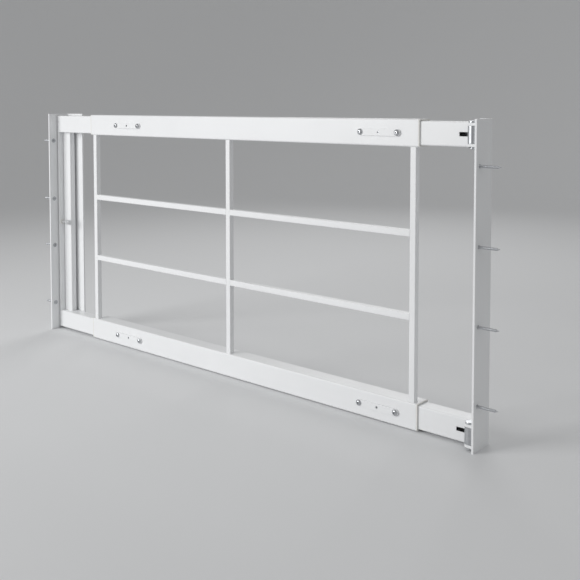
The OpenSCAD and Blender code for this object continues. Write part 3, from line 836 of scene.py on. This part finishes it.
def welded_bar(name, node, axis):
    """A square bar with a small fillet weld on two sides of each end."""
    s = sizes()
    a, b = low(node), high(node)
    inner_a, inner_b = a.copy(), b.copy()
    inner_a[axis] += s.weld
    inner_b[axis] -= s.weld
    bar = block(name, inner_a, inner_b)
    round_edges(bar, axis, s.bar_corner, 4)
    spread_axis = X if axis == Z else Z
    # A fillet's toe stands out by 0.8 of its leg on either side.
    wide = [1.0, 1.0, 1.0]
    wide[spread_axis] = 1 + 1.6 * s.weld / (b - a)[spread_axis]
    for sign, reach in ((-1, a), (1, b)):
        centre = (a + b) / 2
        centre[axis] = reach[axis]
        step = Vector((0, 0, 0))
        step[axis] = sign * s.weld
        choose(bar, "FACE", lambda face: face.normal[axis] * sign > 0.9)
        bpy.ops.mesh.extrude_region_move(TRANSFORM_OT_translate={"value": step})
        bpy.ops.transform.resize(value=wide, center_override=centre)
        leave()
    return bar


class GRILLE_OT_bars(Operator):
    """Three uprights and four crossbars, welded flush to one another and to the sleeves"""

    bl_idname = "grille.bars"
    bl_label = "Bars"

    def execute(self, context):
        for node, axis in (("left_upright", Z), ("middle_upright", Z), ("right_upright", Z),
                           ("upper_left_crossbar", X), ("upper_right_crossbar", X),
                           ("lower_left_crossbar", X), ("lower_right_crossbar", X)):
            fit_out(welded_bar(f"{node}_bar", node, axis), "centre_panel",
                    finish("white_powder_coat_on_bar"), [node])
        return {"FINISHED"}


class GRILLE_OT_guides(Operator):
    """Nylon guides that line the sleeves' mouths, and the glides on the arms' inner ends"""

    bl_idname = "grille.guides"
    bl_label = "Guides and glides"

    def execute(self, context):
        a, b = low("top_left_guide"), high("top_left_guide")
        arm_a, arm_b = low("upper_left_arm"), high("upper_left_arm")
        rim, wall, gap = 2 * MM, 1.5 * MM, 0.3 * MM
        guide = block("guide_model", a, (a.x + rim, b.y, b.z))
        round_edges(guide, X, 2.2 * MM, 5)
        weld_on(guide, block("tool", (a.x + rim / 2, a.y + wall, a.z + wall),
                             (b.x, b.y - wall, b.z - wall)))
        mouth = block("tool", (a.x - 1 * MM, arm_a.y - gap, arm_a.z - gap),
                      (b.x + 1 * MM, arm_b.y + gap, arm_b.z + gap))
        round_edges(mouth, X, 2 * MM, 5)
        cut(guide, mouth)
        mirror_x = middle("top_sleeve").x
        for side, mirror in (("left", None), ("right", (X, mirror_x))):
            for height, drop in (("top", 0), ("bottom", -2 * RAIL_Z)):
                lined = copied(guide, f"{height}_{side}_lining", (0, 0, drop), mirror)
                fit_out(lined, "centre_panel", finish("white_moulded_nylon"),
                        [f"{height}_{side}_guide"], 0.3 * MM)
        bpy.data.meshes.remove(guide.data)
        for height in ("upper", "lower"):
            for side in ("left", "right"):
                paint_node(f"{height}_{side}_glide", finish("white_moulded_nylon"))
        return {"FINISHED"}


# ---- clamps and screws ----

class GRILLE_OT_clamps(Operator):
    """Clamp plates with round ends on the sleeves, and the nut plates inside the arms"""

    bl_idname = "grille.clamps"
    bl_label = "Clamps"

    def execute(self, context):
        s = sizes()
        a, b = low("top_left_clamp_plate"), high("top_left_clamp_plate")
        centre = (a + b) / 2
        plate = pill("clamp_model", a, b, Y, (b.z - a.z) / 2 * 0.995)
        screw_hole, lock_hole = 2.75 * MM, 1.97 * MM
        for shift, radius in ((-CLAMP_REACH, screw_hole), (0, lock_hole),
                              (CLAMP_REACH, screw_hole)):
            x = centre.x + shift
            cut(plate, rod("tool", (x, a.y - 1 * MM, centre.z), (x, b.y + 1 * MM, centre.z),
                           radius))
        for height in ("top", "bottom"):
            for side in ("left", "right"):
                node = f"{height}_{side}_clamp_plate"
                fit_out(copied(plate, f"{height}_{side}_clamp", middle(node) - centre),
                        "centre_panel",
                        finish("white_powder_coat_on_sheet"), [node], s.edge / 2)
                paint_node(f"{height}_{side}_nut_plate", finish("bright_zinc_plates"))
        bpy.data.meshes.remove(plate.data)
        return {"FINISHED"}


def hex_socket(name, start, end, key):
    """The tool for a hexagon socket that takes a key of this size across its flats."""
    return rod(name, start, end, key / 2 / math.cos(math.radians(30)), 6)


def button_screw(name, seat, direction, reach):
    """A socket button-head screw; its head stands on the seat against the direction."""
    out = -Vector(direction)
    rings = [(-reach, 1.9 * MM), (-reach + 0.6 * MM, 2.45 * MM), (0, 2.45 * MM), (0, 4.5 * MM),
             (0.12 * MM, 4.7 * MM), (0.35 * MM, 4.75 * MM), (0.7 * MM, 4.68 * MM),
             (1.3 * MM, 4.3 * MM), (1.9 * MM, 3.65 * MM), (2.35 * MM, 2.95 * MM),
             (2.62 * MM, 2.3 * MM), (2.75 * MM, 1.95 * MM)]
    screw = turned(name, seat, out, rings, 40)
    top = Vector(seat) + out * 2.75 * MM
    cut(screw, hex_socket("tool", top - out * 1.6 * MM, top + out * 1 * MM, 3 * MM))
    return screw


class GRILLE_OT_clamp_screws(Operator):
    """Eight button-head clamp screws and four small socket screws that lock them"""

    bl_idname = "grille.clamp_screws"
    bl_label = "Clamp screws"

    def execute(self, context):
        front = low("top_left_clamp_plate").y
        reach = high("clamp_screws").y - front
        model = button_screw("clamp_screw_model", (0, front, 0), (0, 1, 0), reach)
        depth = high("lock_screws").y - front
        outer = 1.95 * MM
        lock = turned("lock_screw_model", (0, front, 0), (0, 1, 0), [
            (0.35 * MM, 1.7 * MM), (0.55 * MM, outer), (depth, outer)], 32)
        cut(lock, hex_socket("tool", (0, front - 1 * MM, 0), (0, front + 1.9 * MM, 0), 2.5 * MM))
        screws, locks = [], []
        for height in ("top", "bottom"):
            for side in ("left", "right"):
                centre = middle(f"{height}_{side}_clamp_plate")
                locks.append(copied(lock, "lock_screw", (centre.x, 0, centre.z)))
                for shift in (-CLAMP_REACH, CLAMP_REACH):
                    screws.append(copied(model, "clamp_screw", (centre.x + shift, 0, centre.z)))
        fit_out(joined("clamp_button_screws", screws), "centre_panel",
                finish("bright_zinc_screws"), ["clamp_screws"])
        fit_out(joined("lock_set_screws", locks), "centre_panel",
                finish("bright_zinc_screws"), ["lock_screws"])
        bpy.data.meshes.remove(model.data)
        bpy.data.meshes.remove(lock.data)
        return {"FINISHED"}


# ---- hinges ----

def at_both_rails(model, name):
    """The model, made at the upper rail, and its copy at the lower one, as one piece."""
    twin = copied(model, name, (0, 0, -2 * RAIL_Z))
    return joined(name, [model, twin])


class GRILLE_OT_hinges(Operator):
    """Lugs on the right bracket, tongues in the arms, pins, clips, screws and washers"""

    bl_idname = "grille.hinges"
    bl_label = "Hinges"

    def execute(self, context):
        s = sizes()
        zinc = finish("bright_zinc_plates")
        a, b = low("hinge_lugs"), high("hinge_lugs")
        thick, hole = 4 * MM, 4.05 * MM
        lug = block("lug_model", (a.x, a.y, b.z - thick), b)
        round_edges(lug, Z, (b.y - a.y) / 2 * 0.999, 14, lambda m: m.x < a.x + 1e-5)
        cut(lug, rod("tool", (HINGE_X, 0, b.z - thick - 1 * MM), (HINGE_X, 0, b.z + 1 * MM), hole))
        lower = copied(lug, "lower_lug", mirror=(Z, RAIL_Z))
        fit_out(at_both_rails(joined("lug_pair", [lug, lower]), "lugs"), "right_bracket",
                finish("white_powder_coat_on_sheet"),
                ["hinge_lugs"], s.edge)

        node = "upper_hinge_tongue"
        a, b = low(node), high(node)
        eye = rod("tongue_model", (HINGE_X, 0, a.z), (HINGE_X, 0, b.z), 7 * MM)
        web = HINGE_X + 1 * MM
        weld_on(eye, block("tool", (web, 0, a.z), (web + 5 * MM, b.y, b.z)))
        weld_on(eye, block("tool", (a.x, b.y - 10 * MM, a.z), (web + 1 * MM, b.y, b.z)))
        cut(eye, rod("tool", (HINGE_X, 0, a.z - 1 * MM), (HINGE_X, 0, b.z + 1 * MM), hole))
        screw_x = middle("hinge_screws").x
        cut(eye, rod("tool", (screw_x, b.y - 11 * MM, RAIL_Z), (screw_x, b.y + 1 * MM, RAIL_Z),
                     2.5 * MM, 32))
        for height, drop in (("upper", 0), ("lower", -2 * RAIL_Z)):
            fit_out(copied(eye, f"{height}_tongue", (0, 0, drop)), "right_arms",
                    zinc, [f"{height}_hinge_tongue"], s.edge)
        bpy.data.meshes.remove(eye.data)

        shank, head = 36.1 * MM, 3 * MM
        radius, groove = 4 * MM, 3.25 * MM
        groove_low, groove_top = 2.2 * MM, 3.2 * MM
        foot = high("hinge_pins").z - head - shank
        pin = turned("pin_model", (HINGE_X, 0, foot), (0, 0, 1), [
            (0, 3.5 * MM), (0.5 * MM, radius), (groove_low, radius), (groove_low, groove),
            (groove_top, groove), (groove_top, radius), (shank, radius), (shank, 5.8 * MM),
            (shank + 0.2 * MM, 6 * MM), (shank + 2.1 * MM, 6 * MM),
            (shank + 2.7 * MM, 5.6 * MM), (shank + head, 4.6 * MM)], 48)
        fit_out(at_both_rails(pin, "pins"), "right_bracket", zinc,
                ["hinge_pins"])

        z = foot + groove_low
        clip = rod("clip_model", (HINGE_X, 0, z), (HINGE_X, 0, z + 1 * MM), 6 * MM)
        cut(clip, rod("tool", (HINGE_X, 0, z - 1 * MM), (HINGE_X, 0, z + 2 * MM), 3.3 * MM))
        cut(clip, block("tool", (HINGE_X - 2.8 * MM, -8 * MM, z - 1 * MM),
                        (HINGE_X + 2.8 * MM, 0, z + 2 * MM)))
        fit_out(at_both_rails(clip, "clips"), "right_bracket", zinc,
                ["pin_clips"], 0.2 * MM)

        seat = high("hinge_washers").y
        screw = button_screw("hinge_screw_model", (screw_x, seat, RAIL_Z), (0, -1, 0), 12 * MM)
        fit_out(at_both_rails(screw, "hinge_button_screws"), "right_arms",
                finish("bright_zinc_screws"), ["hinge_screws"])
        washer = rod("washer_model", (screw_x, low("hinge_washers").y, RAIL_Z),
                     (screw_x, seat, RAIL_Z), 6 * MM)
        cut(washer, rod("tool", (screw_x, seat - 3 * MM, RAIL_Z), (screw_x, seat + 1 * MM, RAIL_Z),
                        2.75 * MM))
        fit_out(at_both_rails(washer, "washers"), "right_arms",
                finish("bright_zinc_screws"), ["hinge_washers"], 0.15 * MM)
        return {"FINISHED"}


OPERATORS = (
    GRILLE_OT_stage, GRILLE_OT_brackets, GRILLE_OT_wall_screws, GRILLE_OT_arms,
    GRILLE_OT_left_end, GRILLE_OT_lock, GRILLE_OT_sleeves, GRILLE_OT_bars, GRILLE_OT_guides,
    GRILLE_OT_clamps, GRILLE_OT_clamp_screws, GRILLE_OT_hinges,
)


class GRILLE_PT_pieces(Panel):
    """Lists the grille's pieces with their sizes and colours"""

    bl_idname = "GRILLE_PT_pieces"
    bl_label = "Window Grille"
    bl_space_type = "VIEW_3D"
    bl_region_type = "UI"
    bl_category = "Grille"

    def draw(self, context):
        layout = self.layout
        for group in (context.scene.grille_sizes, context.scene.grille_colours):
            box = layout.box()
            for name in group.__annotations__:
                box.prop(group, name)
        for kind in OPERATORS:
            layout.operator(kind.bl_idname)


CLASSES = (GrilleSizes, GrilleColours, *OPERATORS, GRILLE_PT_pieces)


def register():
    for kind in CLASSES:
        bpy.utils.register_class(kind)
    bpy.types.Scene.grille_sizes = PointerProperty(type=GrilleSizes)
    bpy.types.Scene.grille_colours = PointerProperty(type=GrilleColours)


def unregister():
    del bpy.types.Scene.grille_colours
    del bpy.types.Scene.grille_sizes
    for kind in reversed(CLASSES):
        bpy.utils.unregister_class(kind)


def main():
    register()
    for kind in OPERATORS:
        group, name = kind.bl_idname.split(".")
        getattr(getattr(bpy.ops, group), name)()


if __name__ == "__main__":
    main()
